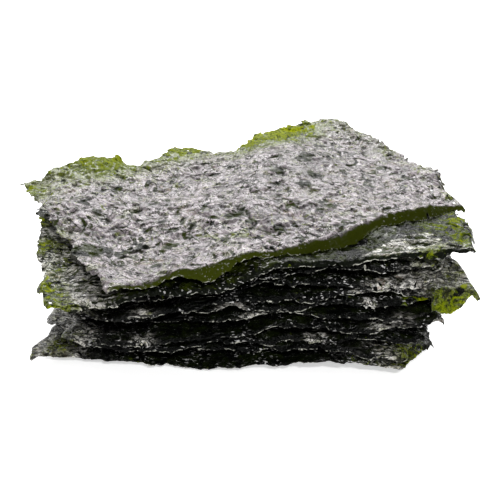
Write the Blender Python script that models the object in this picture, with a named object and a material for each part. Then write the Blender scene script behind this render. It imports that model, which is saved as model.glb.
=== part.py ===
# A stack of eleven roasted seaweed sheets. Each sheet is a thin wavy solid of its own,
# turned a little against the one beneath it and resting on its highest ridges.

import math
import random

import bpy
from mathutils import Matrix, Vector
from mathutils.bvhtree import BVHTree

MM = 0.001

# One sheet: the cut size before its edges crumble, and how thick it is
SHEET_LENGTH = 90 * MM
SHEET_WIDTH = 56 * MM
THICKNESS = 0.4 * MM

# Triangles: both faces of a sheet are the same grid, split alike
COLUMNS = 21
ROWS = 13

# Resting: the air left between two sheets where they touch, and how finely that is measured
CONTACT_GAP = 0.42 * MM
PROBE_STEP = 1.0 * MM
PROBE_REACH = 60 * MM
PROBE_HEIGHT = 200 * MM

# Waves that every sheet shares, as (length, direction in degrees, height, phase)
SHARED_WAVES = (
    (64 * MM, 8, 0.75 * MM, 0.9),
    (47 * MM, 62, 0.45 * MM, 2.2),
)

# Waves of one sheet alone, drawn with the sheet's own seed
OWN_WAVES = 5
OWN_WAVE_LENGTH = (19 * MM, 44 * MM)
OWN_WAVE_HEIGHT = (0.23 * MM, 0.55 * MM)

# Crumbled edges: short waves in the outline, drawn with the same seed
EDGE_WAVES = 4
EDGE_WAVE_LENGTH = (8.5 * MM, 24 * MM)
EDGE_WAVE_DEPTH = (0.15 * MM, 0.4 * MM)

# The stack from bottom to top: name, seed, centre x and y, turn in degrees,
# rise of the right end in degrees, length lost at the left end and at the right end
SHEETS = (
    ("sheet_01", 472, -0.9 * MM, -4.6 * MM, -4.0, 0.4, 0.0 * MM, 0.0 * MM),
    ("sheet_02", 12, 0.2 * MM, -1.6 * MM, -8.0, 0.2, 0.0 * MM, 2.0 * MM),
    ("sheet_03", 13, 0.6 * MM, -3.6 * MM, 1.0, 0.2, 2.0 * MM, 4.0 * MM),
    ("sheet_04", 14, 1.6 * MM, -5.2 * MM, 5.0, 0.3, 1.5 * MM, 5.0 * MM),
    ("sheet_05", 15, 1.2 * MM, -3.4 * MM, -2.0, 0.4, 3.0 * MM, 3.0 * MM),
    ("sheet_06", 16, 2.0 * MM, -3.8 * MM, 2.0, 0.4, 2.0 * MM, 4.0 * MM),
    ("sheet_07", 17, 3.0 * MM, -5.4 * MM, 9.0, 0.6, 0.0 * MM, 0.0 * MM),
    ("sheet_08", 18, 2.0 * MM, -5.0 * MM, 3.0, 0.8, 1.0 * MM, 5.0 * MM),
    ("sheet_09", 19, 1.4 * MM, -6.0 * MM, 6.0, 1.1, 1.0 * MM, 5.0 * MM),
    ("sheet_10", 1054, -2.6 * MM, -13.4 * MM, 12.0, 1.0, 0.0 * MM, 0.0 * MM),
    ("sheet_11", 112, -2.4 * MM, -3.8 * MM, 28.5, -0.4, 0.0 * MM, 0.0 * MM),
)

# Curls and dents: sheet, place along and across it, reach, lift (down if negative)
CURLS = (
    ("sheet_01", 44 * MM, -27 * MM, 14 * MM, 0.8 * MM),
    ("sheet_07", 43 * MM, -28 * MM, 11 * MM, -3.2 * MM),
    ("sheet_07", 44 * MM, -12 * MM, 16 * MM, 1.0 * MM),
    ("sheet_08", -45 * MM, -28 * MM, 24 * MM, -0.8 * MM),
    ("sheet_09", -45 * MM, -28 * MM, 24 * MM, -1.4 * MM),
    ("sheet_10", -45 * MM, -28 * MM, 26 * MM, -0.8 * MM),
    ("sheet_10", 45 * MM, -28 * MM, 15 * MM, 1.6 * MM),
    ("sheet_11", -31 * MM, 28 * MM, 9 * MM, 2.1 * MM),
    ("sheet_11", -16 * MM, 28 * MM, 7 * MM, -1.2 * MM),
    ("sheet_11", -3 * MM, 28 * MM, 7 * MM, 0.9 * MM),
    ("sheet_11", 10 * MM, 28 * MM, 8 * MM, -1.8 * MM),
    ("sheet_11", -36 * MM, -28 * MM, 22 * MM, -2.0 * MM),
    ("sheet_11", 6 * MM, -28 * MM, 16 * MM, -0.8 * MM),
    ("sheet_11", 40 * MM, -28 * MM, 22 * MM, -1.2 * MM),
)

# Pieces broken out of an edge: sheet, side, place along that side, half width, depth
# (a negative depth is a part that stands out)
BITES = (
    ("sheet_01", "right", -28 * MM, 9 * MM, 7.5 * MM),
    ("sheet_01", "left", -26 * MM, 5 * MM, -4.0 * MM),
    ("sheet_02", "right", -28 * MM, 9 * MM, 4.0 * MM),
    ("sheet_03", "right", -28 * MM, 7 * MM, 3.0 * MM),
    ("sheet_07", "right", 12 * MM, 20 * MM, 6.5 * MM),
    ("sheet_07", "right", -11 * MM, 12 * MM, 3.5 * MM),
    ("sheet_09", "right", -26 * MM, 10 * MM, 2.4 * MM),
    ("sheet_10", "front", 9 * MM, 22 * MM, 3.6 * MM),
    ("sheet_10", "right", 2 * MM, 17 * MM, -5.5 * MM),
    ("sheet_10", "right", -17 * MM, 12 * MM, -2.5 * MM),
    ("sheet_11", "front", 2 * MM, 22 * MM, -1.8 * MM),
    ("sheet_11", "back", -40 * MM, 7 * MM, 1.6 * MM),
    ("sheet_11", "back", -28 * MM, 8 * MM, -1.6 * MM),
    ("sheet_11", "back", -17 * MM, 6 * MM, 3.0 * MM),
    ("sheet_11", "back", 9 * MM, 6 * MM, 4.2 * MM),
    ("sheet_11", "right", 2 * MM, 19 * MM, -3.4 * MM),
)

# Finish of the CAD solids: roasted leaf, almost black green with a dull gloss
LEAF_COLOUR = (0.030, 0.040, 0.022, 1.0)
LEAF_ROUGHNESS = 0.38
SHARP_ANGLE = math.radians(50)


def clear_scene():
    for old in list(bpy.data.objects):
        bpy.data.objects.remove(old, do_unlink=True)


def leaf_material(name):
    material = bpy.data.materials.new(name)
    material.use_nodes = True
    shader = material.node_tree.nodes["Principled BSDF"]
    shader.inputs["Base Color"].default_value = LEAF_COLOUR
    shader.inputs["Roughness"].default_value = LEAF_ROUGHNESS
    shader.inputs["Metallic"].default_value = 0.0
    return material


def wave_height(waves, x, y):
    """Sum of plane waves (length, direction in degrees, height, phase) at one point."""
    total = 0.0
    for length, direction, height, phase in waves:
        angle = math.radians(direction)
        travelled = x * math.cos(angle) + y * math.sin(angle)
        total += height * math.sin(2 * math.pi * travelled / length + phase)
    return total


def draw_waves(draw, count, lengths, heights):
    return [
        (
            draw.uniform(*lengths),
            draw.uniform(0, 180),
            draw.uniform(*heights),
            draw.uniform(0, 2 * math.pi),
        )
        for _ in range(count)
    ]


def bell(distance, reach):
    return math.exp(-((distance / reach) ** 2))


class Outline:
    """The four crumbled edges of one sheet, each as a depth lost along its side."""

    def __init__(self, name, draw, lost_left, lost_right):
        sides = ("left", "right", "front", "back")
        self.waves = {
            side: draw_waves(draw, EDGE_WAVES, EDGE_WAVE_LENGTH, EDGE_WAVE_DEPTH)
            for side in sides
        }
        self.lost = {"left": lost_left, "right": lost_right, "front": 0.0, "back": 0.0}
        self.bites = [bite[1:] for bite in BITES if bite[0] == name]

    def depth(self, side, place):
        total = self.lost[side]
        for length, _, height, phase in self.waves[side]:
            total += height * math.sin(2 * math.pi * place / length + phase)
        for bite_side, centre, half_width, deep in self.bites:
            if bite_side == side:
                total += deep * bell(place - centre, half_width)
        return total

    def point(self, along_share, across_share):
        """Where a grid point lies, from its share of the length and of the width."""
        across = (across_share - 0.5) * SHEET_WIDTH
        along = (along_share - 0.5) * SHEET_LENGTH
        left = -SHEET_LENGTH / 2 + self.depth("left", across)
        right = SHEET_LENGTH / 2 - self.depth("right", across)
        front = -SHEET_WIDTH / 2 + self.depth("front", along)
        back = SHEET_WIDTH / 2 - self.depth("back", along)
        return (
            left + (right - left) * along_share,
            front + (back - front) * across_share,
        )


def sheet_heights(name, draw, turn, centre, rise, points):
    """Height of the sheet's middle surface above its own centre, at each grid point."""
    own_waves = draw_waves(draw, OWN_WAVES, OWN_WAVE_LENGTH, OWN_WAVE_HEIGHT)
    curls = [curl[1:] for curl in CURLS if curl[0] == name]
    heights = []
    for along, across in points:
        placed = Matrix.Rotation(turn, 2) @ Vector((along, across)) + centre
        height = wave_height(SHARED_WAVES, placed.x, placed.y)
        height += wave_height(own_waves, along, across)
        height += along * math.tan(rise)
        for curl_along, curl_across, reach, lift in curls:
            distance = math.hypot(along - curl_along, across - curl_across)
            height += lift * bell(distance, reach)
        heights.append(height)
    return heights


def grid_index(column, row):
    return column * (ROWS + 1) + row


def sheet_faces():
    """Triangles of the top face, the bottom face and the rim between them."""
    below = (COLUMNS + 1) * (ROWS + 1)
    faces = []
    for column in range(COLUMNS):
        for row in range(ROWS):
            a = grid_index(column, row)
            b = grid_index(column + 1, row)
            c = grid_index(column + 1, row + 1)
            d = grid_index(column, row + 1)
            if (column + row) % 2:
                halves = ((a, b, c), (a, c, d))
            else:
                halves = ((a, b, d), (b, c, d))
            for p, q, r in halves:
                faces.append((p, q, r))
                faces.append((p + below, r + below, q + below))
    front = [grid_index(column, 0) for column in range(COLUMNS)]
    right = [grid_index(COLUMNS, row) for row in range(ROWS)]
    back = [grid_index(column, ROWS) for column in range(COLUMNS, 0, -1)]
    left = [grid_index(0, row) for row in range(ROWS, 0, -1)]
    loop = front + right + back + left
    for here, following in zip(loop, loop[1:] + loop[:1]):
        faces.append((here, here + below, following + below))
        faces.append((here, following + below, following))
    return faces


def make_sheet(name, seed, x, y, turn_degrees, rise_degrees, lost_left, lost_right):
    draw = random.Random(seed)
    turn = math.radians(turn_degrees)
    outline = Outline(name, draw, lost_left, lost_right)
    points = [
        outline.point(column / COLUMNS, row / ROWS)
        for column in range(COLUMNS + 1)
        for row in range(ROWS + 1)
    ]
    rise = math.radians(rise_degrees)
    heights = sheet_heights(name, draw, turn, Vector((x, y)), rise, points)
    top = [(a, b, h + THICKNESS / 2) for (a, b), h in zip(points, heights)]
    bottom = [(a, b, h - THICKNESS / 2) for (a, b), h in zip(points, heights)]
    mesh = bpy.data.meshes.new(name)
    mesh.from_pydata(top + bottom, [], sheet_faces())
    mesh.materials.append(leaf_material(name + "_leaf"))
    mesh.shade_smooth()
    mesh.set_sharp_from_angle(angle=SHARP_ANGLE)
    sheet = bpy.data.objects.new(name, mesh)
    bpy.context.scene.collection.objects.link(sheet)
    sheet.location = (x, y, 0)
    sheet.rotation_euler = (0, 0, turn)
    return sheet


def placed_geometry(sheet):
    place = Matrix.Translation(sheet.location) @ sheet.rotation_euler.to_matrix().to_4x4()
    corners = [place @ vertex.co for vertex in sheet.data.vertices]
    faces = [tuple(face.vertices) for face in sheet.data.polygons]
    return corners, faces


def probes():
    """A square lattice of places, seen from above, over the whole stack."""
    steps = int(PROBE_REACH / PROBE_STEP)
    for i in range(-steps, steps + 1):
        for j in range(-steps, steps + 1):
            yield i * PROBE_STEP, j * PROBE_STEP


def surface_heights(tree, from_above):
    """Height of the first surface met at each probe, coming down or going up."""
    start = PROBE_HEIGHT if from_above else -PROBE_HEIGHT
    direction = Vector((0, 0, -1 if from_above else 1))
    found = {}
    for x, y in probes():
        hit = tree.ray_cast(Vector((x, y, start)), direction)[0]
        if hit is not None:
            found[x, y] = hit.z
    return found


def settle(sheets):
    """Lowers each sheet in turn until it nearly touches the pile beneath it."""
    pile = {}
    for sheet in sheets:
        tree = BVHTree.FromPolygons(*placed_geometry(sheet))
        underside = surface_heights(tree, from_above=False)
        shared = [place for place in underside if place in pile]
        if shared:
            lift = CONTACT_GAP - min(underside[place] - pile[place] for place in shared)
        else:
            lift = -min(underside.values())
        sheet.location.z += lift
        for place, height in surface_heights(tree, from_above=True).items():
            pile[place] = max(height + lift, pile.get(place, -PROBE_HEIGHT))


def stand_on_origin(sheets):
    """Puts the middle of the stack's underside at the origin, through one empty."""
    corners = [corner for sheet in sheets for corner in placed_geometry(sheet)[0]]
    low = [min(corner[axis] for corner in corners) for axis in range(3)]
    high = [max(corner[axis] for corner in corners) for axis in range(3)]
    stack = bpy.data.objects.new("stack", None)
    bpy.context.scene.collection.objects.link(stack)
    stack.location = (-(low[0] + high[0]) / 2, -(low[1] + high[1]) / 2, -low[2])
    for sheet in sheets:
        sheet.parent = stack


def main():
    clear_scene()
    sheets = [make_sheet(*row) for row in SHEETS]
    settle(sheets)
    stand_on_origin(sheets)


main()
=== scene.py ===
import math

import bpy
import numpy as np
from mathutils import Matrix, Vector
from mathutils.bvhtree import BVHTree


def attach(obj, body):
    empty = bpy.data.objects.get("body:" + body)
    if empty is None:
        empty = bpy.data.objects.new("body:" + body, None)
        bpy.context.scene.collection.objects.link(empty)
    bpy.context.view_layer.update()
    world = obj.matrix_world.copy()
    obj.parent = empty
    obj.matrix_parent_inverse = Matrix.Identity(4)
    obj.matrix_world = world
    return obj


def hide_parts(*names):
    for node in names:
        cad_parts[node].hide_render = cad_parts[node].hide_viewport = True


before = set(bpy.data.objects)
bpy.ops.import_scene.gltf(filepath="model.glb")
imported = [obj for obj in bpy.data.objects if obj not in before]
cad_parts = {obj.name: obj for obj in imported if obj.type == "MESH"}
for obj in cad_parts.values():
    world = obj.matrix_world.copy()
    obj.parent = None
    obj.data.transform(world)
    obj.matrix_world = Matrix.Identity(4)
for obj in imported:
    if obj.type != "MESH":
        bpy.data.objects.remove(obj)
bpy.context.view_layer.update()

MM = 0.001

# View of the photograph: where the camera looks, from how far and how high
LOOK_AT = Vector((1.8, 4.1, 14.6)) * MM
CAMERA_DISTANCE = 241 * MM
CAMERA_ELEVATION = math.radians(28.3)
SENSOR_WIDTH = 36.0
LENS = 69.1

# Fineness of the leaf meshes: cell size of the top sheet, of the tenth and of the others
CELLS = {"sheet_11": 0.37 * MM, "sheet_10": 0.46 * MM}
OTHER_CELL = 0.60 * MM

# Leaf thickness at its edge and away from it, and how far in it reaches the full value
EDGE_THICKNESS = 0.06 * MM
LEAF_THICKNESS = 0.17 * MM
THICKENING = 1.6 * MM

# Depth over which a leaf's inset from its own edge is told to the material, and the share of it
# where the painted highlight along the rim starts and ends
INSET_DEPTH = 2.0 * MM
RIM_HIGHLIGHT_SHARES = (0.035, 0.01)

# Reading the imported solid: corners nearer than this are one, and faces that point up at least
# this much are its upper side; then the sampling of its middle surface, and its smoothing
WELD = 0.001 * MM
LEAST_UPWARD = 0.3
PROBE_CELL = 1.0 * MM
PROBE_MARGIN = 4.0 * MM
SMOOTHING_PASSES = 3
PROBE_HEIGHT = 0.2

# Relief of the pressed leaf, as (size of a crumple, height); the grain is for open sheets only
DIMPLES = (8.0 * MM, 0.40 * MM)
CREASES = (3.4 * MM, 0.24 * MM)
CRINKLES = (1.5 * MM, 0.10 * MM)
GRAIN = (0.8 * MM, 0.04 * MM)
CREASE_SHARES = (0.6, 0.4)

# Curled strands pressed into the leaf: how many, their radii and widths in mm, their sweep in
# degrees, and the depth of their groove
STRANDS = {"sheet_11": 120, "sheet_10": 90}
FEW_STRANDS = 25
STRAND_RADIUS = (0.8, 3.6)
STRAND_SWEEP = (50, 170)
STRAND_WIDTH = (0.22, 0.42)
STRAND_DEPTH = 0.22 * MM

# The ridge beside each groove: how many widths out, where it wins over the groove, its height
RIDGE_OFFSET = 1.8
RIDGE_LEVEL = 0.5
RIDGE_HEIGHT = 0.6

# Strands that stand out (node: along, across, radius, start and sweep in degrees, width), in mm
BOLD_STRANDS = {
    "sheet_11": (
        (-11.5, -9.8, 4.2, 60, 110, 0.55), (-11.5, -9.8, 4.0, 185, 60, 0.6),
        (-10.5, -10.5, 3.6, 270, 80, 0.7), (-19, -9.5, 2.0, 60, 150, 0.5),
        (-42, -9.0, 1.0, 0, 180, 1.0), (-36, -14, 1.2, 20, 160, 0.8),
        (4, -17, 2.2, 40, 130, 0.6), (12, -17.5, 1.8, 30, 120, 0.6), (-26, -3, 4.5, 80, 60, 0.5),
        (14, 6, 3.5, 40, 120, 0.6), (26, 10, 4, 200, 100, 0.5), (-30, 8, 5, 50, 70, 0.5),
        (-4, 8, 3.2, 20, 110, 0.5), (30, -12, 3, 60, 120, 0.5), (-38, 12, 3, 240, 100, 0.5),
    ),
}

# Edges that wave and curl, as (length, height), and how far into the leaf that reaches
EDGE_CURL = (5.0 * MM, 0.40 * MM)
EDGE_CURL_REACH = 3.0 * MM
FRONT_WAVES = (13.0 * MM, 0.85 * MM)
FRONT_WAVE_REACH = 9.0 * MM

# Crumbled outline, as (size, depth), torn fibres and where along the leaf they set in, pinholes
OUTLINE_BREAKS = ((4.6 * MM, 0.70 * MM), (1.7 * MM, 0.45 * MM), (0.8 * MM, 0.24 * MM))
FIBRES = (1.3 * MM, 4.2 * MM, 0.42)
FIBRE_ZONE = (-15 * MM, 30 * MM)
FRONT_CALM = 0.75
PINHOLE_SIZE = 1.5 * MM
PINHOLE_LEVEL = 0.72
PINHOLE_MARGIN = 0.35
PINHOLE_ZONE = 14 * MM
LEAST_CUT_SHARE = 0.2

# The front edges turn down in a lip: steepness, softness of the bend, and how far it reaches
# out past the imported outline, plain and in places (node: along, reach along, extra), in mm
LIP_STEEPNESS = 2.3
LIP_BEND = 0.55 * MM
LIP_REACH = 0.42 * MM
LIP_VARIATION = (17 * MM, 0.30 * MM)
LIP_TURN = (-0.50 * MM, -0.15 * MM)
LIP_FRONT = (0.1, 0.3)
LIPS = {
    "sheet_11": ((-24, 6, 1.0), (-8, 8, 0.6), (2, 5, 0.5), (12, 8, 1.2), (23, 8, 1.0), (33, 8, 0.9)),
    "sheet_07": ((36, 8, 1.6),),
}
PLAIN_LIP = {"sheet_11": 0.15 * MM, "sheet_01": 0.0}
FRONT_START = 14 * MM
FRONT_FULL = 21 * MM
LIP_END_FADE = 7 * MM

# Places where the edge stands further out, or less, and is bent up, or down
# (node: along, across, size, out, up), in mm
FLAPS = {
    "sheet_11": (
        (-38, 27, 2, 1.8, 0.9), (-33, 28, 2, -0.4, -0.2), (-27, 28, 1.5, 0.6, 0.1),
        (-21, 28, 1.6, 1.7, 0.9), (-17.5, 27, 2, -1.9, -0.8), (-12, 27, 2, -0.9, -0.4),
        (-6, 28, 1.3, 0.8, 0.3), (-1, 28, 2, 1.3, 0.6), (21, 28, 1.5, 0.6, 0.2), (29, 27, 1.3, 0.7, 0.3),
        (7, 19, 3, -2.2, -0.9), (47, -14, 6, 1.2, 0.3), (-47, 24, 4, 0.8, 0.5),
    ),
    "sheet_10": ((47, -4, 4, 1.2, 0.0), (46, -19, 3, 1.4, 0.0), (-48, -8, 14, 0.5, 0.0)),
    "sheet_09": ((45, -25, 6, -2.0, 0.0),),
    "sheet_08": ((47, -25, 7, -3.0, 0.0),),
    "sheet_07": ((46, -27, 6, 0.8, -0.6),),
    "sheet_06": ((43, -28, 6, -2.4, 0.0),),
    "sheet_05": ((45, -27, 5, -1.6, 0.0),),
}

# Where light comes through thin leaf, through the translucent shader and also painted into the
# colour as green (node: along, across, size, strength), in mm
GLOWS = {
    "sheet_11": (
        (-28, 26, 8, 1.0), (-21, 27, 4, 0.7), (-8, 27, 6, 0.6), (-2, 28, 4, 0.7), (14, 24, 5, 0.8),
        (23, 25, 7, 1.0), (31, 24, 5, 0.7), (-47, 20, 6, 0.5), (-46, -2, 4, 0.4), (44, 4, 5, 0.3),
        (46, -10, 3, 0.5), (44, -24, 3, 0.5), (-17, -22, 4, 0.3), (12, -10, 3, 0.3),
    ),
    "sheet_10": (
        (-47, 10, 4, 1.0), (-47, -3, 4, 1.1), (-47, -20, 4, 1.1), (-46, -27, 4, 0.9), (-44, -12, 3, 0.6),
        (46, -5, 4, 1.3), (45, -14, 4, 1.2), (43, -23, 4, 1.2), (34, -28, 4, 0.8), (38, -16, 4, 0.7),
    ),
    "sheet_09": ((40, -26, 5, 0.7),),
    "sheet_08": ((42, -20, 4, 0.6),),
    "sheet_07": ((41, -20, 4, 0.4), (45, -29, 4, 0.8), (38, -31, 5, 1.3), (-43, -27, 4, 0.3)),
    "sheet_06": ((38, -30, 6, 1.6),),
    "sheet_04": ((-44, -27, 4, 0.4),),
    "sheet_03": ((-44, -26, 4, 0.4),),
    "sheet_02": ((40, -26, 5, 0.8), (-44, -24, 4, 0.3)),
    "sheet_01": ((-42, -22, 5, 0.6), (41, -24, 7, 0.9), (24, -28, 9, 0.25), (-20, -28, 8, 0.2)),
}

# Green light along the far edge of the top sheet, also painted into the colour, and how deep it reaches
FAR_GLOW = {"sheet_11": 0.55}
FAR_GLOW_REACH = 8.0 * MM

# Painted light: sheet ends and bits of lip that get painted sheen though they lie under others,
# and with a strength below 0 painted shade, where less of it goes (node: along, across, size,
# strength), in mm
PAINTED_LIGHT_PLACES = {
    "sheet_11": ((22, 3, 16, -0.25),),
    "sheet_10": (
        (-46, 8, 10, 0.8), (-46, -10, 12, 1.0), (-42, -24, 9, 1.0), (34, -20, 4, 0.2), (42, -13, 13, -1.2),
    ),
    "sheet_09": ((40, -27, 7, 1.6), (-46, -20, 6, 0.9), (-17, -28, 2, 1.2)),
    "sheet_08": ((40, -27, 9, 1.8), (-45, -24, 6, 0.9), (26, -28, 2.5, 1.2)),
    "sheet_07": ((40, -24, 10, 1.4), (-45, -26, 6, 0.9), (18, -29, 2.5, 0.9), (-30, -28, 3, 0.8)),
    "sheet_06": ((42, -24, 5, 0.6), (-44, -26, 6, 1.2), (24, -29, 2, 0.6), (-6, -28, 3, 1.0)),
    "sheet_05": ((-44, -26, 6, 1.1), (0, -29, 2.5, 1.3), (34, -27, 3, 0.5)),
    "sheet_04": ((-44, -25, 7, 1.4), (40, -25, 5, 0.6), (27, -28, 3, 0.7), (-26, -28, 3, 0.7)),
    "sheet_03": ((-44, -25, 7, 1.6), (14, -28, 3, 0.8)),
    "sheet_02": ((-43, -24, 8, 1.9), (-30, -27, 6, 0.7), (38, -27, 7, 0.8)),
    "sheet_01": ((-44, -24, 8, 1.2), (36, -28, 9, 0.7)),
}

# Painted shade in hollows of the pressed leaf, where the painted sheen is left off (node: along,
# across, size, strength), in mm, the size of the noise that frays them, and the strengths at which
# they start and are full
SHADED_HOLLOWS = {
    "sheet_11": (
        (-45, -9.5, 2.0, 2.2), (-42.5, -10.2, 1.9, 2.2), (-39.8, -10.6, 1.5, 1.8), (-37.5, -13.6, 1.4, 1.6),
        (-19.6, -11.6, 1.5, 1.4), (-26.2, -15.4, 1.4, 1.5), (-28.6, -15.8, 1.5, 1.1), (-24.3, -5.6, 1.2, 1.0),
        (-11, -13.4, 1.5, 1.2), (-8, -13.8, 1.6, 1.4), (-7.5, -17.6, 1.0, 1.3), (-8.9, -23.3, 0.9, 1.2),
        (-28, 12.5, 2.0, 1.1), (-22.5, 3, 1.3, 1.2), (-18.5, 3.6, 1.2, 1.1), (20, 5.8, 2.2, 1.2),
        (23, 8, 1.8, 1.2), (9.8, 1.6, 1.8, 1.4), (17.5, -3.2, 2.0, 1.3), (12.2, -6.8, 1.9, 1.5),
        (9, -18.8, 1.5, 1.4), (12.3, -18.6, 1.4, 1.2), (16, -25.6, 1.0, 1.2), (-3.1, -21.8, 1.6, 1.4),
        (-0.7, -27.2, 1.0, 1.1), (37, -3.6, 1.5, 1.2), (39, -11.5, 1.3, 1.1), (-33, -22, 1.4, 1.1),
        (-36, 4, 1.6, 1.0), (28, -12, 1.3, 1.1), (2, 12, 1.8, 1.0), (30, 14, 1.6, 1.0),
    ),
}
SHADE_FRAY = 1.3 * MM
SHADE_STEP = (0.40, 0.80)

# A leaf's clearance to what lies below it. It is kept for corners, against the highest corner
# so far in each small square, so two leaves can still touch between their corners.
CLEARANCE = 0.08 * MM
FLOOR_CELL = 0.7 * MM
FLOOR_HALF = 62 * MM
GROUND = -CLEARANCE

# Painted shade: the painted sheen is left off where a leaf lies under those above it. This is
# painted by place, and lights don't change it: how much further to the front it is taken, how soft
# its border is, and the covered share where it starts and is full.
SHADOW_SHIFT = 8.0 * MM
SHADOW_SOFTNESS = 1.5 * MM
SHADOW_PASSES = 3
SHADOW_STEP = (0.05, 0.6)


# Noise over the plane, in numpy

NOISE_CELLS = 256
NOISE_GAIN = 1.45
WARP_SHARE = 0.75
WARP_FINENESS = 0.7
CRUMPLE_STEEPNESS = 3.2


def fade(t):
    return t * t * t * (t * (t * 6 - 15) + 10)


def noise(x, y, seed):
    """Smooth noise between about -1 and 1, in cells of one unit."""
    angles = np.random.default_rng(seed).uniform(0, 2 * np.pi, (NOISE_CELLS, NOISE_CELLS))
    column = np.floor(x).astype(int)
    row = np.floor(y).astype(int)
    along = x - column
    across = y - row

    def corner(right, up):
        angle = angles[(column + right) % NOISE_CELLS, (row + up) % NOISE_CELLS]
        return np.cos(angle) * (along - right) + np.sin(angle) * (across - up)

    u = fade(along)
    v = fade(across)
    low = corner(0, 0) * (1 - u) + corner(1, 0) * u
    high = corner(0, 1) * (1 - u) + corner(1, 1) * u
    return NOISE_GAIN * (low * (1 - v) + high * v)


def crumple(x, y, size, seed):
    """Warped, creased noise from about -1 to 1: rounded hollows between sharp ridges."""
    bend = WARP_SHARE * size
    slow_x = x / size * WARP_FINENESS
    slow_y = y / size * WARP_FINENESS
    warped_x = x + bend * noise(slow_x, slow_y, seed + 1)
    warped_y = y + bend * noise(slow_x, slow_y, seed + 2)
    return 1 - CRUMPLE_STEEPNESS * np.abs(noise(warped_x / size, warped_y / size, seed))


def smooth_step(low, high, value):
    share = np.clip((value - low) / (high - low), 0, 1)
    return share * share * (3 - 2 * share)


# Reading a packed sheet: its outline in plan and its middle surface


def node_arrays(node):
    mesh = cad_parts[node].data
    corners = np.empty(len(mesh.vertices) * 3)
    mesh.vertices.foreach_get("co", corners)
    mesh.calc_loop_triangles()
    triangles = np.empty(len(mesh.loop_triangles) * 3, int)
    mesh.loop_triangles.foreach_get("vertices", triangles)
    corners = corners.reshape(-1, 3)
    merged, index = np.unique(np.round(corners / WELD), axis=0, return_inverse=True)
    return merged * WELD, index.reshape(-1)[triangles.reshape(-1, 3)]


def outline_segments(corners, triangles):
    """Start and end points, in plan, of the edges that bound the sheet's upper face."""
    a, b, c = (corners[triangles[:, k]] for k in range(3))
    normals = np.cross(b - a, c - a)
    normals /= np.linalg.norm(normals, axis=1)[:, None]
    rim = rim_edges(triangles[normals[:, 2] > LEAST_UPWARD])
    return corners[rim[:, 0], :2], corners[rim[:, 1], :2]


def distance_inside(x, y, segments):
    """Distance from each point to the outline, positive inside it."""
    nearest = np.full(x.shape, np.inf)
    crossings = np.zeros(x.shape, int)
    for (x0, y0), (x1, y1) in zip(*segments):
        run_x, run_y = x1 - x0, y1 - y0
        share = np.clip(((x - x0) * run_x + (y - y0) * run_y) / (run_x**2 + run_y**2), 0, 1)
        nearest = np.minimum(nearest, np.hypot(x - x0 - share * run_x, y - y0 - share * run_y))
        straddles = (y0 > y) != (y1 > y)
        if run_y:
            crossings += straddles & (x < x0 + (y - y0) * run_x / run_y)
    return np.where(crossings % 2, nearest, -nearest)


class Plan:
    """A sheet seen from above, with its own axes: along its long side and across it."""

    def __init__(self, corners):
        spread = np.cov((corners[:, :2] - corners[:, :2].mean(axis=0)).T)
        long_side = np.linalg.eigh(spread)[1][:, 1]
        turn = math.atan(long_side[1] / long_side[0])
        self.cos, self.sin = math.cos(turn), math.sin(turn)
        self.centre = (0.0, 0.0)
        local = self.to_local(corners[:, 0], corners[:, 1])
        self.half = [np.ptp(values) / 2 for values in local]
        self.centre = tuple((values.min() + values.max()) / 2 for values in local)

    def to_local(self, x, y):
        along = self.cos * x + self.sin * y - self.centre[0]
        across = self.cos * y - self.sin * x - self.centre[1]
        return along, across

    def to_world(self, along, across):
        along = along + self.centre[0]
        across = across + self.centre[1]
        return self.cos * along - self.sin * across, self.sin * along + self.cos * across


class Lattice:
    """Square cells over a plan, with a margin around it."""

    def __init__(self, plan, cell, margin):
        self.plan = plan
        self.cell = cell
        self.low = [-half - margin for half in plan.half]
        counts = [int(2 * (half + margin) / cell) + 2 for half in plan.half]
        self.along, self.across = np.meshgrid(
            self.low[0] + cell * np.arange(counts[0]),
            self.low[1] + cell * np.arange(counts[1]),
            indexing="ij",
        )

    def read(self, values, x, y):
        """Values between lattice points, blended from the four nearest."""
        along, across = self.plan.to_local(x, y)
        u = np.clip((along - self.low[0]) / self.cell, 0, values.shape[0] - 1.001)
        v = np.clip((across - self.low[1]) / self.cell, 0, values.shape[1] - 1.001)
        i, j = u.astype(int), v.astype(int)
        u, v = u - i, v - j
        low = values[i, j] * (1 - u) + values[i + 1, j] * u
        high = values[i, j + 1] * (1 - u) + values[i + 1, j + 1] * u
        return low * (1 - v) + high * v


KERNEL = {(i, j): (2 - abs(i)) * (2 - abs(j)) for i in (-1, 0, 1) for j in (-1, 0, 1)}


def neighbour_mean(values, known):
    """Each value blended with those of its neighbours that are known."""
    total = np.zeros_like(values)
    weight = np.zeros_like(values)
    padded = np.pad(values * known, 1, mode="edge")
    padded_known = np.pad(known, 1, mode="edge")
    for (i, j), share in KERNEL.items():
        window = np.s_[1 + i : padded.shape[0] - 1 + i, 1 + j : padded.shape[1] - 1 + j]
        total += share * padded[window]
        weight += share * padded_known[window]
    return total / np.maximum(weight, 1), (weight > 0).astype(float)


def middle_surface(corners, triangles, plan):
    """The lattice and the smoothed height of the sheet's middle, carried on past its edges."""
    tree = BVHTree.FromPolygons(corners.tolist(), triangles.tolist())
    lattice = Lattice(plan, PROBE_CELL, PROBE_MARGIN)
    x, y = plan.to_world(lattice.along, lattice.across)
    measured = np.zeros(x.shape)
    known = np.zeros(x.shape)
    for place in np.ndindex(x.shape):
        above = tree.ray_cast(Vector((x[place], y[place], PROBE_HEIGHT)), Vector((0, 0, -1)))[0]
        if above is None:
            continue
        below = tree.ray_cast(Vector((x[place], y[place], -PROBE_HEIGHT)), Vector((0, 0, 1)))[0]
        measured[place] = (above.z + below.z) / 2
        known[place] = 1
    heights = measured
    reached = known
    while reached.min() < 1:
        spread, reached = neighbour_mean(heights, reached)
        heights = np.where(known > 0, measured, spread)
    for _ in range(SMOOTHING_PASSES):
        heights, _ = neighbour_mean(heights, reached)
    return lattice, heights


# Cutting a lattice along its outline, and giving it thickness


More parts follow.
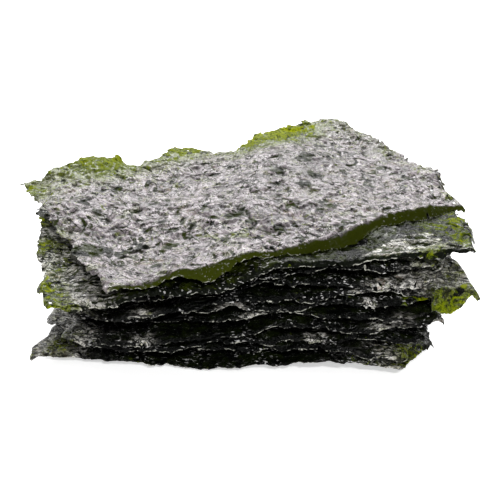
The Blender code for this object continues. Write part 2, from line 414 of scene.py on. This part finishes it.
def lattice_triangles(shape):
    index = np.arange(shape[0] * shape[1]).reshape(shape)
    a, b, c, d = index[:-1, :-1], index[1:, :-1], index[1:, 1:], index[:-1, 1:]
    odd = np.add.outer(np.arange(shape[0] - 1), np.arange(shape[1] - 1)) % 2 == 1
    first = np.where(odd[..., None], np.stack([a, b, c], -1), np.stack([a, b, d], -1))
    second = np.where(odd[..., None], np.stack([a, c, d], -1), np.stack([b, c, d], -1))
    return np.concatenate([first.reshape(-1, 3), second.reshape(-1, 3)])


def lone_corner_first(triangles, marked):
    """Each triangle turned so that its one marked corner comes first."""
    place = np.argmax(marked[triangles], axis=1)
    order = (place[:, None] + np.arange(3)) % 3
    return np.take_along_axis(triangles, order, axis=1)


def cut_to_field(x, y, field, triangles):
    """Keeps the part of the triangles where field is above 0, with new corners on the cut."""
    inside = field > 0
    count = inside[triangles].sum(axis=1)
    tips = lone_corner_first(triangles[count == 1], inside)
    stumps = lone_corner_first(triangles[count == 2], ~inside)
    cut_edges = np.concatenate([tips[:, [0, 1]], tips[:, [0, 2]], stumps[:, [1, 0]], stumps[:, [2, 0]]])
    _, first, index = np.unique(
        cut_edges[:, 0] * len(x) + cut_edges[:, 1], return_index=True, return_inverse=True
    )
    kept, lost = cut_edges[first].T
    share = np.clip(field[kept] / (field[kept] - field[lost]), LEAST_CUT_SHARE, 1)
    x = np.concatenate([x, x[kept] + share * (x[lost] - x[kept])])
    y = np.concatenate([y, y[kept] + share * (y[lost] - y[kept])])
    index = len(field) + index.reshape(-1)
    sizes = [len(tips), len(tips), len(stumps)]
    tip_b, tip_c, stump_b, stump_c = np.split(index, np.cumsum(sizes))
    faces = np.concatenate(
        [
            triangles[count == 3],
            np.stack([tips[:, 0], tip_b, tip_c], -1),
            np.stack([stump_b, stumps[:, 1], stumps[:, 2]], -1),
            np.stack([stump_b, stumps[:, 2], stump_c], -1),
        ]
    )
    return x, y, faces


def largest_piece(count, faces):
    """The faces of the largest connected piece, so that no loose crumb is left."""
    label = np.arange(count)
    edges = np.concatenate([faces[:, [0, 1]], faces[:, [1, 2]]])
    while True:
        lowest = np.minimum(label[edges[:, 0]], label[edges[:, 1]])
        spread = label.copy()
        np.minimum.at(spread, edges[:, 0], lowest)
        np.minimum.at(spread, edges[:, 1], lowest)
        spread = spread[spread]
        if (spread == label).all():
            break
        label = spread
    names, sizes = np.unique(label[faces[:, 0]], return_counts=True)
    return faces[label[faces[:, 0]] == names[sizes.argmax()]]


def drop_unused(x, y, faces):
    used, index = np.unique(faces, return_inverse=True)
    return x[used], y[used], index.reshape(-1, 3)


def rim_edges(faces):
    """The one-sided edges of a surface, each in its own face's direction."""
    edges = np.concatenate([faces[:, [0, 1]], faces[:, [1, 2]], faces[:, [2, 0]]])
    _, first, count = np.unique(np.sort(edges, axis=1), axis=0, return_index=True, return_counts=True)
    return edges[first[count == 1]]


def closed_leaf(x, y, z, thickness, faces):
    """Corners and faces of the closed solid between a surface and its copy below."""
    corners = np.concatenate(
        [np.stack([x, y, z + thickness / 2], -1), np.stack([x, y, z - thickness / 2], -1)]
    )
    below = len(x)
    rim = rim_edges(faces)
    a, b = rim[:, 0], rim[:, 1]
    return corners, np.concatenate(
        [
            faces,
            faces[:, ::-1] + below,
            np.stack([a, a + below, b + below], -1),
            np.stack([a, b + below, b], -1),
        ]
    )


def mesh_object(name, corners, faces, attributes):
    mesh = bpy.data.meshes.new(name)
    mesh.vertices.add(len(corners))
    mesh.vertices.foreach_set("co", corners.astype(np.float32).reshape(-1))
    mesh.loops.add(len(faces) * 3)
    mesh.loops.foreach_set("vertex_index", faces.astype(np.int32).reshape(-1))
    mesh.polygons.add(len(faces))
    mesh.polygons.foreach_set("loop_start", np.arange(0, len(faces) * 3, 3, dtype=np.int32))
    mesh.update(calc_edges=True)
    mesh.validate()
    for key, values in attributes.items():
        mesh.attributes.new(key, "FLOAT", "POINT").data.foreach_set("value", values.astype(np.float32))
    mesh.shade_smooth()
    made = bpy.data.objects.new(name, mesh)
    bpy.context.scene.collection.objects.link(made)
    return made


# One leaf


def front_share(plan, x, y):
    """1 along the front edge of a sheet, 0 away from it."""
    along, across = plan.to_local(x, y)
    ends = smooth_step(0, LIP_END_FADE, plan.half[0] - np.abs(along))
    return smooth_step(FRONT_START, FRONT_FULL, -across) * ends


def spots(places, plan, x, y):
    """Soft round spots of the given strengths, added up."""
    along, across = (values / MM for values in plan.to_local(x, y))
    total = np.zeros_like(along)
    for middle, side, size, strength in places:
        total += strength * np.exp(-((along - middle) ** 2 + (across - side) ** 2) / size**2)
    return total


def glow_share(node, plan, x, y, inside):
    """How much green light comes through the leaf, from the places where it is thin; it is also painted into
    the colour.
    """
    far = smooth_step(0, FRONT_FULL, plan.to_local(x, y)[1])
    edge = np.exp(-np.maximum(inside, 0) / FAR_GLOW_REACH)
    return spots(GLOWS.get(node, ()), plan, x, y) + FAR_GLOW.get(node, 0) * far * edge


def flap_shape(node, plan, x, y):
    """How far the edge stands out, and how far it is bent up, by place."""
    along, across = (values / MM for values in plan.to_local(x, y))
    out = np.zeros_like(along)
    up = np.zeros_like(along)
    for middle, side, size, reach, rise in FLAPS.get(node, ()):
        share = np.exp(-((along - middle) ** 2 + (across - side) ** 2) / size**2)
        out += reach * MM * share
        up += rise * MM * share
    return out, up


def lip_reach(node, plan, x, y, seed):
    """How far the turned-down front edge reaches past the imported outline."""
    along, across = plan.to_local(x, y)
    size, height = LIP_VARIATION
    reach = PLAIN_LIP.get(node, LIP_REACH)
    if reach:
        reach = reach + height * noise(along / size, across / size, seed + 5)
    for middle, width, extra in LIPS.get(node, ()):
        reach = reach + extra * MM * np.exp(-(((along / MM - middle) / width) ** 2))
    return np.maximum(reach, 0) * front_share(plan, x, y)


def outline_field(node, plan, x, y, segments, seed):
    """Above 0 where there is leaf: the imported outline, crumbled, less a few pinholes."""
    inside = distance_inside(x, y, segments)
    crumbled = inside + lip_reach(node, plan, x, y, seed) + flap_shape(node, plan, x, y)[0]
    torn = 1 - FRONT_CALM * front_share(plan, x, y)
    for number, (size, depth) in enumerate(OUTLINE_BREAKS):
        crumbled = crumbled + torn * depth * noise(x / size, y / size, seed + 10 + number)
    size, length, level = FIBRES
    torn = torn**3 * smooth_step(*FIBRE_ZONE, plan.to_local(x, y)[0])
    crumbled += torn * length * np.maximum(noise(x / size, y / size, seed + 15) - level, 0)
    holes = PINHOLE_LEVEL - noise(x / PINHOLE_SIZE, y / PINHOLE_SIZE, seed + 20)
    holes = (holes + PINHOLE_MARGIN * smooth_step(0, PINHOLE_ZONE, inside)) * PINHOLE_SIZE
    return np.minimum(crumbled, holes), inside


def leaf_relief(plan, x, y, inside, seed, fine):
    """Heights of the dimples, creases and crinkles, and how far the creases rise."""
    size, height = DIMPLES
    relief = height * noise(x / size, y / size, seed + 30)
    size, height = CREASES
    creases = crumple(x, y, size, seed + 40)
    relief += height * creases
    size, height = CRINKLES
    crinkles = crumple(x, y, size, seed + 50)
    relief += height * crinkles
    if fine:
        size, height = GRAIN
        relief += height * noise(x / size, y / size, seed + 60)
    size, height = EDGE_CURL
    near = np.clip(1 - inside / EDGE_CURL_REACH, 0, 1) ** 2
    relief += near * height * noise(x / size, y / size, seed + 70)
    return relief, CREASE_SHARES[0] * creases + CREASE_SHARES[1] * crinkles


def strands(node, plan, x, y, seed):
    """Curled grooves, from 0 to 1, with a low ridge below 0 on their outer side."""
    random = np.random.default_rng(seed + 90)
    along, across = (values / MM for values in plan.to_local(x, y))
    arcs = list(BOLD_STRANDS.get(node, ()))
    for _ in range(STRANDS.get(node, FEW_STRANDS)):
        middle = random.uniform(-1, 1, 2) * plan.half / np.array(MM)
        radius = random.uniform(*STRAND_RADIUS)
        start = random.uniform(0, 360)
        sweep = random.uniform(*STRAND_SWEEP)
        arcs.append((*middle, radius, start, sweep, random.uniform(*STRAND_WIDTH)))
    groove = np.zeros_like(along)
    ridge = np.zeros_like(along)
    for middle, side, radius, start, sweep, width in arcs:
        apart = np.hypot(along - middle, across - side) - radius
        angle = (np.degrees(np.arctan2(across - side, along - middle)) - start) % 360
        taper = np.sin(np.pi * np.clip(angle / sweep, 0, 1))
        groove = np.maximum(groove, taper * np.exp(-((apart / width) ** 2)))
        ridge = np.maximum(ridge, taper * np.exp(-(((apart - RIDGE_OFFSET * width) / width) ** 2)))
    return np.where(groove > RIDGE_LEVEL * ridge, groove, -RIDGE_HEIGHT * ridge)


def front_shape(plan, x, y, inside, seed):
    """The long waves of the front edge, and the drop of its turned-down lip."""
    along, across = plan.to_local(x, y)
    size, height = FRONT_WAVES
    near = np.clip(1 - inside / FRONT_WAVE_REACH, 0, 1) ** 2
    near *= smooth_step(FRONT_START, FRONT_FULL, -across)
    waves = near * height * noise(along / size, np.zeros_like(along), seed + 80)
    past = -inside
    bend = (past + LIP_BEND) ** 2 / (4 * LIP_BEND)
    drop = np.where(past < -LIP_BEND, 0, np.where(past > LIP_BEND, past, bend))
    return waves - LIP_STEEPNESS * drop * smooth_step(FRONT_START, FRONT_FULL, -across)


class Floor:
    """The highest leaf surface so far over each small square of the table."""

    def __init__(self):
        count = int(2 * FLOOR_HALF / FLOOR_CELL)
        self.heights = np.full((count, count), GROUND)

    def cells(self, x, y):
        last = len(self.heights) - 1
        column = np.clip(((x + FLOOR_HALF) / FLOOR_CELL).astype(int), 0, last)
        row = np.clip(((y + FLOOR_HALF) / FLOOR_CELL).astype(int), 0, last)
        return column, row

    def under(self, x, y):
        return self.heights[self.cells(x, y)]

    def cover(self, x, y, z):
        np.maximum.at(self.heights, self.cells(x, y), z)


def sky_share(base, higher):
    """Share of painted sheen, the rest painted shade: 1 where a leaf lies open, 0 under the leaves above it
    and a little in front of them.
    """
    x, y = base.plan.to_world(base.along, base.across)
    covered = np.zeros(x.shape)
    for segments in higher:
        inside = distance_inside(x, y + SHADOW_SHIFT, segments)
        covered = np.maximum(covered, smooth_step(-SHADOW_SOFTNESS, SHADOW_SOFTNESS, inside))
    for _ in range(SHADOW_PASSES):
        covered, _ = neighbour_mean(covered, np.ones_like(covered))
    return 1 - smooth_step(*SHADOW_STEP, covered)


def openness(node, plan, x, y, seed):
    """What the painted light places add to a leaf's share of painted sheen, less its painted shade in
    hollows.
    """
    dark = spots(SHADED_HOLLOWS.get(node, ()), plan, x, y)
    dark = dark * (1 + noise(x / SHADE_FRAY, y / SHADE_FRAY, seed + 95))
    return spots(PAINTED_LIGHT_PLACES.get(node, ()), plan, x, y) - smooth_step(*SHADE_STEP, dark)


def make_leaf(node, seed, floor, higher):
    corners, triangles = node_arrays(node)
    plan = Plan(corners)
    base, heights = middle_surface(corners, triangles, plan)
    cell = CELLS.get(node, OTHER_CELL)
    lattice = Lattice(plan, cell, PROBE_MARGIN)
    x, y = (values.reshape(-1) for values in plan.to_world(lattice.along, lattice.across))
    segments = outline_segments(corners, triangles)
    field, _ = outline_field(node, plan, x, y, segments, seed)
    x, y, faces = cut_to_field(x, y, field, lattice_triangles(lattice.along.shape))
    faces = largest_piece(len(x), faces)
    x, y, faces = drop_unused(x, y, faces)
    field, inside = outline_field(node, plan, x, y, segments, seed)
    relief, creases = leaf_relief(plan, x, y, inside, seed, node in CELLS)
    z = base.read(heights, x, y) + relief + front_shape(plan, x, y, inside, seed)
    z += flap_shape(node, plan, x, y)[1]
    scars = strands(node, plan, x, y, seed)
    z -= STRAND_DEPTH * scars
    thickness = EDGE_THICKNESS + (LEAF_THICKNESS - EDGE_THICKNESS) * smooth_step(0, THICKENING, field)
    z = np.maximum(z, floor.under(x, y) + CLEARANCE + thickness / 2)
    floor.cover(x, y, z + thickness / 2)
    solid, solid_faces = closed_leaf(x, y, z, thickness, faces)
    lip = smooth_step(*LIP_TURN, -inside) * smooth_step(*LIP_FRONT, front_share(plan, x, y))
    # Share of painted sheen: left off under the leaves above and on the turned-down lip, as painted shade,
    # then painted light and painted shade in hollows added by place; the underside gets none
    lit = base.read(sky_share(base, higher), x, y) * (1 - lip)
    lit = np.clip(lit + openness(node, plan, x, y, seed), 0, 1)
    attributes = {
        "glow": np.tile(glow_share(node, plan, x, y, inside), 2),
        "lip": np.tile(lip, 2),
        "inset": np.tile(np.clip(field / INSET_DEPTH, 0, 1), 2),
        "crease": np.tile(creases, 2),
        "scar": np.tile(scars, 2),
        "open": np.concatenate([lit, np.zeros(len(x))]),
    }
    leaf = mesh_object(node + "_leaf", solid, solid_faces, attributes)
    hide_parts(node)
    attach(leaf, "root")
    return leaf


# Materials


class Nodes:
    """Short calls for building one material's node tree."""

    def __init__(self, name):
        self.material = bpy.data.materials.new(name)
        self.material.use_nodes = True
        self.tree = self.material.node_tree
        self.tree.nodes.clear()

    def put(self, socket, value):
        if isinstance(value, bpy.types.NodeSocket):
            self.tree.links.new(value, socket)
        else:
            socket.default_value = value

    def add(self, kind, settings=None, **inputs):
        node = self.tree.nodes.new("ShaderNode" + kind)
        for key, value in (settings or {}).items():
            setattr(node, key, value)
        for key, value in inputs.items():
            self.put(node.inputs[key.replace("_", " ")], value)
        return node

    def noise(self, place, size, detail=2, distortion=0.0, roughness=0.55):
        """Noise whose lumps are about size metres across."""
        node = self.add(
            "TexNoise", None, Vector=place, Scale=1 / size, Detail=detail,
            Distortion=distortion, Roughness=roughness,
        )
        return node.outputs[0]

    def ramp(self, value, low, high, start=0.0, end=1.0):
        node = self.add("MapRange", {"interpolation_type": "SMOOTHSTEP"}, Value=value)
        for key, number in (("From Min", low), ("From Max", high), ("To Min", start), ("To Max", end)):
            node.inputs[key].default_value = number
        return node.outputs["Result"]

    def stretched(self, place, shares):
        node = self.add("VectorMath", {"operation": "MULTIPLY"}, Vector=place)
        node.inputs[1].default_value = shares
        return node.outputs[0]

    def maths(self, operation, *values):
        node = self.add("Math", {"operation": operation})
        for socket, value in zip(node.inputs, values):
            self.put(socket, value)
        return node.outputs[0]

    def mix(self, factor, a, b):
        node = self.add("Mix", {"data_type": "RGBA"})
        for socket, value in ((node.inputs[0], factor), (node.inputs[6], a), (node.inputs[7], b)):
            self.put(socket, value)
        return node.outputs[2]

    def output(self, shader):
        node = self.add("OutputMaterial")
        self.tree.links.new(shader.outputs[0], node.inputs["Surface"])
        return self.material


BLACK = (0.0008, 0.0011, 0.0008, 1)
BLACK_GREEN = (0.004, 0.005, 0.003, 1)
DEEP_OLIVE = (0.005, 0.008, 0.001, 1)
OLIVE = (0.022, 0.030, 0.003, 1)
LIP_OLIVE = (0.026, 0.033, 0.002, 1)
# Painted sheen: greys that stand in for the reflection of the bright light behind the leaves
SHEEN_SLATE = (0.050, 0.042, 0.047, 1)
SHEEN_GREY = (0.125, 0.106, 0.116, 1)
SHEEN_PALE = (0.380, 0.332, 0.354, 1)
# Brighter painted sheen for leaves that lie partly in shade: painted light
BRIGHT_SHEEN_GREY = (0.30, 0.285, 0.260, 1)
BRIGHT_SHEEN_PALE = (0.78, 0.76, 0.71, 1)
SAGE = (0.25, 0.26, 0.165, 1)
# Painted highlight: white glints painted into the colour
GLINT_WHITE = (0.70, 0.69, 0.68, 1)
CREAM = (0.52, 0.50, 0.34, 1)
RUST = (0.22, 0.15, 0.12, 1)
# Moss-green tint; where light comes through it is also painted, as painted light
MOSS_TINT_AND_GLOW = (0.105, 0.125, 0.012, 1)
# Painted highlight along the broken edge
RIM_HIGHLIGHT = (0.46, 0.46, 0.40, 1)
THROUGH_GREEN = (0.17, 0.23, 0.006, 1)
THROUGH_YELLOW = (0.72, 0.74, 0.08, 1)

# Fibres run along the sheets: noise is drawn out that way by these shares
STREAK = (0.28, 1.0, 1.0)
GLINT = (0.50, 1.0, 1.0)

# Fibres fray the border between painted sheen and painted shade: their share in it, and where it is full
FRAY_SHARE = 1.6
FRAY_STEP = (1.1, 1.5)


def leaf_material(name, skins, sheen_greys, lip_shade_colour, gloss, bare_gloss, bumps, streaky, painted_glints):
    """Roasted leaf: black green, a painted grey sheen that is lighter on the crests, and green light through
    thin spots, through the translucent shader and also painted into the colour.
    """
    n = Nodes(name)
    place = n.add("TexCoord").outputs["Object"]
    glow, lip, inset, crease, sky, scar = (
        n.add("Attribute", {"attribute_name": key}).outputs["Fac"]
        for key in ("glow", "lip", "inset", "crease", "open", "scar")
    )
    strands = n.noise(place, 5.5 * MM, detail=1, distortion=2.6, roughness=0.4)
    curls = n.noise(place, 2.8 * MM, detail=1, distortion=3.6, roughness=0.4)
    swirls = n.noise(place, 3.4 * MM, detail=3, distortion=2.2, roughness=0.45)
    specks = n.noise(place, 0.9 * MM, detail=2, distortion=1.5, roughness=0.5)
    patches = n.noise(place, 9 * MM, detail=4, distortion=0.8, roughness=0.6)
    tints = n.noise(place, 4.5 * MM, detail=3, distortion=1.5, roughness=0.6)
    broad = n.noise(place, 5 * MM, detail=3, distortion=2.2, roughness=0.5)
    streaks = n.noise(n.stretched(place, STREAK), 1.2 * MM, detail=3, distortion=1.2, roughness=0.6)
    glints = n.noise(n.stretched(place, GLINT), 0.5 * MM, detail=1, distortion=0.4, roughness=0.5)

    # Bare skin, and the painted sheen over it, lighter on crests and darker in grooves, with its tints
    skin = n.mix(n.ramp(tints, 0.40, 0.65), *skins)
    # Painted shade: the turned-down lip gets one plain darker colour
    skin = n.mix(lip, skin, lip_shade_colour)
    paler = n.maths("ADD", swirls, n.maths("MULTIPLY", crease, 0.05))
    paler = n.maths("SUBTRACT", paler, n.maths("MULTIPLY", scar, 0.2))
    painted_sheen = n.mix(n.ramp(paler, 0.38, 0.64), *sheen_greys)
    painted_sheen = n.mix(n.ramp(patches, 0.50, 0.34, 0.0, 0.6), painted_sheen, SHEEN_SLATE)
    painted_sheen = n.mix(n.ramp(broad, 0.56, 0.66, 0.0, 0.6), painted_sheen, SAGE)
    painted_sheen = n.mix(n.ramp(tints, 0.60, 0.72, 0.0, 0.7), painted_sheen, RUST)
    mossy = n.maths("SUBTRACT", tints, n.maths("MULTIPLY", glow, 0.25))
    painted_sheen = n.mix(n.ramp(mossy, 0.42, 0.28), painted_sheen, MOSS_TINT_AND_GLOW)
    # Painted light: moss green where light comes through
    painted_sheen = n.mix(n.ramp(glow, 0.05, 0.8, 0.0, 0.7), painted_sheen, MOSS_TINT_AND_GLOW)
    painted_sheen = n.mix(n.ramp(specks, 0.64, 0.74), painted_sheen, CREAM)

    # Painted sheen is left off in cracks, curls, pits, hollows and holes, as painted shade, and under other
    # leaves
    crack = n.ramp(n.maths("ABSOLUTE", n.maths("SUBTRACT", strands, 0.5)), 0.008, 0.030)
    crack = n.maths("MAXIMUM", crack, n.ramp(patches, 0.52, 0.42))
    curl = n.ramp(n.maths("ABSOLUTE", n.maths("SUBTRACT", curls, 0.5)), 0.014, 0.050)
    curl = n.maths("MAXIMUM", curl, n.ramp(broad, 0.54, 0.44))
    crack = n.maths("MULTIPLY", n.maths("MULTIPLY", crack, curl), n.ramp(scar, 0.6, 0.15))
    pits = n.ramp(n.maths("ADD", specks, n.maths("MULTIPLY", crease, 0.05)), 0.34, 0.44, 0.35, 1.0)
    hollows = n.ramp(n.maths("ADD", swirls, n.maths("MULTIPLY", crease, 0.07)), 0.30, 0.40, 0.2, 1.0)
    holes = n.ramp(n.maths("ADD", broad, n.maths("MULTIPLY", specks, 0.15)), 0.42, 0.47)
    cover = n.maths("MULTIPLY", n.maths("MULTIPLY", pits, hollows), n.maths("MULTIPLY", crack, holes))
    frayed = n.ramp(n.maths("ADD", sky, n.maths("MULTIPLY", streaks, FRAY_SHARE)), *FRAY_STEP)
    sky = n.maths("MULTIPLY", sky, 1.0 - streaky)
    sky = n.maths("ADD", sky, n.maths("MULTIPLY", frayed, streaky))
    fibrous = n.ramp(streaks, 0.44, 0.54, 1.0 - streaky, 1.0)
    cover = n.maths("MULTIPLY", n.maths("MULTIPLY", cover, fibrous), sky)
    colour = n.mix(cover, skin, painted_sheen)

    # Thin spots that let light through, with its green painted into the colour, then the painted
    # highlight along the broken edge and the painted glints
    light = n.maths("ADD", n.maths("MULTIPLY", glow, 0.42), n.maths("MULTIPLY", tints, 0.6))
    light = n.maths("ADD", light, n.maths("MULTIPLY", specks, 0.5))
    thin = n.ramp(n.maths("ADD", light, n.maths("MULTIPLY", swirls, 1.3)), 1.46, 1.82)
    # The green of light through thin spots, painted into the colour
    colour = n.mix(n.maths("MULTIPLY", thin, 0.9), colour, THROUGH_GREEN)
    # The pale broken edge is a painted highlight
    broken = n.ramp(n.maths("ADD", tints, n.maths("MULTIPLY", specks, 0.6)), 0.79, 0.95)
    colour = n.mix(n.maths("MULTIPLY", n.ramp(inset, *RIM_HIGHLIGHT_SHARES), broken), colour, RIM_HIGHLIGHT)
    # Glints: painted highlights in white
    glint = n.maths("MULTIPLY", n.ramp(glints, 0.62, 0.68), n.ramp(patches, 0.48, 0.60))
    long_glint = n.maths("MULTIPLY", n.ramp(streaks, 0.68, 0.75), n.ramp(tints, 0.50, 0.58))
    glint = n.maths("MAXIMUM", glint, long_glint)
    colour = n.mix(n.maths("MULTIPLY", glint, painted_glints), colour, GLINT_WHITE)

    # Gloss, bumps, and the light that comes through
    roughness = n.ramp(specks, 0.3, 0.7, 0.18, 0.42)
    lumps = n.maths("ADD", n.maths("MULTIPLY", swirls, 1.2), n.maths("MULTIPLY", specks, 0.20))
    bump = n.add("Bump", None, Height=lumps, Strength=1.0, Distance=bumps).outputs[0]
    sheen = n.ramp(cover, 0.0, 0.5, bare_gloss, 0.45)
    sheen = n.maths("MULTIPLY", sheen, n.ramp(lip, 0.0, 1.0, 1.0, 0.4))
    sheen = n.maths("MULTIPLY", sheen, n.ramp(thin, 0.0, 1.0, 1.0, 0.3))
    surface = n.add(
        "BsdfPrincipled", None, Base_Color=colour, Roughness=roughness, Normal=bump, IOR=gloss,
        Specular_IOR_Level=sheen,
    )
    ripe = n.mix(n.ramp(n.maths("ADD", thin, specks), 0.8, 1.4), THROUGH_GREEN, THROUGH_YELLOW)
    ripe = n.mix(n.ramp(specks, 0.52, 0.38, 0.0, 0.8), ripe, DEEP_OLIVE)
    through = n.add("BsdfTranslucent", None, Color=ripe)
    both = n.add("MixShader", None, Fac=n.ramp(thin, 0.0, 1.0, 0.0, 0.6))
    n.tree.links.new(surface.outputs[0], both.inputs[1])
    n.tree.links.new(through.outputs[0], both.inputs[2])
    return n.output(both)


# Studio: a pale floor, a pale room that is brighter behind, two lamps and the camera

FLOOR_SIZE = 4.0
FLOOR_TONE = 0.90
FLOOR_GLOW = 0.60
FLOOR_ROUGHNESS = 0.9
ROOM_FRONT = 0.34
ROOM_BACK = 0.55
ROOM_BLEND = 0.6
CLIP_START = 0.01

# Lamps, as (name, place, size, power)
LAMPS = (
    ("back softbox", (0.0, 0.78, 0.55), (1.0, 0.28), 15.5),
    ("front spot", (0.10, -0.45, 0.42), (0.04, 0.04), 2.0),
)


def make_floor():
    bpy.ops.mesh.primitive_plane_add(size=FLOOR_SIZE, location=(0, 0, 0))
    floor = bpy.context.object
    floor.name = "floor"
    n = Nodes("floor")
    tone = (FLOOR_TONE, FLOOR_TONE, FLOOR_TONE, 1)
    surface = n.add("BsdfPrincipled", None, Base_Color=tone, Roughness=FLOOR_ROUGHNESS)
    surface.inputs["Emission Color"].default_value = tone
    surface.inputs["Emission Strength"].default_value = FLOOR_GLOW
    floor.data.materials.append(n.output(surface))


def make_room():
    world = bpy.data.worlds.new("room")
    world.use_nodes = True
    tree = world.node_tree
    direction = tree.nodes.new("ShaderNodeTexCoord")
    split = tree.nodes.new("ShaderNodeSeparateXYZ")
    ramp = tree.nodes.new("ShaderNodeMapRange")
    steps = {"From Min": -ROOM_BLEND, "From Max": ROOM_BLEND, "To Min": ROOM_FRONT, "To Max": ROOM_BACK}
    for key, number in steps.items():
        ramp.inputs[key].default_value = number
    background = tree.nodes["Background"]
    background.inputs["Color"].default_value = (1, 1, 1, 1)
    tree.links.new(direction.outputs["Generated"], split.inputs[0])
    tree.links.new(split.outputs["Y"], ramp.inputs["Value"])
    tree.links.new(ramp.outputs["Result"], background.inputs["Strength"])
    bpy.context.scene.world = world


def make_lamps():
    for name, place, size, power in LAMPS:
        light = bpy.data.lights.new(name, "AREA")
        light.shape = "RECTANGLE"
        light.size, light.size_y = size
        light.energy = power
        lamp = bpy.data.objects.new(name, light)
        bpy.context.scene.collection.objects.link(lamp)
        lamp.location = place
        lamp.rotation_euler = (LOOK_AT - Vector(place)).to_track_quat("-Z", "Y").to_euler()


def make_camera():
    data = bpy.data.cameras.new("camera")
    data.sensor_width = SENSOR_WIDTH
    data.lens = LENS
    data.clip_start = CLIP_START
    camera = bpy.data.objects.new("camera", data)
    bpy.context.scene.collection.objects.link(camera)
    back = Vector((0, -math.cos(CAMERA_ELEVATION), math.sin(CAMERA_ELEVATION)))
    camera.location = LOOK_AT + back * CAMERA_DISTANCE
    camera.rotation_euler = back.to_track_quat("Z", "Y").to_euler()
    bpy.context.scene.camera = camera


make_camera()
make_floor()
make_room()
make_lamps()
bpy.context.scene.view_settings.view_transform = "Standard"

# The three leaf materials: lower sheets, the tenth and the top one. The lower sheets are a darker
# copy, as painted shade, and the lower and tenth ones carry a brighter painted sheen that makes up
# for their shade.
PLAIN_SHEEN = (SHEEN_GREY, SHEEN_PALE)
BRIGHT_SHEEN = (BRIGHT_SHEEN_GREY, BRIGHT_SHEEN_PALE)
LOWER = leaf_material(
    "leaf_lower", skins=(BLACK, DEEP_OLIVE), sheen_greys=BRIGHT_SHEEN, lip_shade_colour=BLACK, gloss=1.25,
    bare_gloss=0.5, bumps=0.9 * MM, streaky=0.85, painted_glints=0.7,
)
TENTH = leaf_material(
    "leaf_tenth", skins=(BLACK, OLIVE), sheen_greys=BRIGHT_SHEEN, lip_shade_colour=BLACK_GREEN, gloss=1.25,
    bare_gloss=0.2, bumps=0.6 * MM, streaky=1.0, painted_glints=0.5,
)
TOP = leaf_material(
    "leaf_top", skins=(BLACK_GREEN, OLIVE), sheen_greys=PLAIN_SHEEN, lip_shade_colour=LIP_OLIVE, gloss=1.28,
    bare_gloss=0.12, bumps=0.35 * MM, streaky=0.15, painted_glints=0.2,
)

# The leaves, from the bottom up; each has its own seeds
SEED_STEP = 1000
table_top = Floor()
names = sorted(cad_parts)
outlines = [outline_segments(*node_arrays(name)) for name in names]
for number, node in enumerate(names):
    leaf = make_leaf(node, SEED_STEP * (number + 1), table_top, outlines[number + 1 :])
    leaf.data.materials.append({"sheet_11": TOP, "sheet_10": TENTH}.get(node, LOWER))
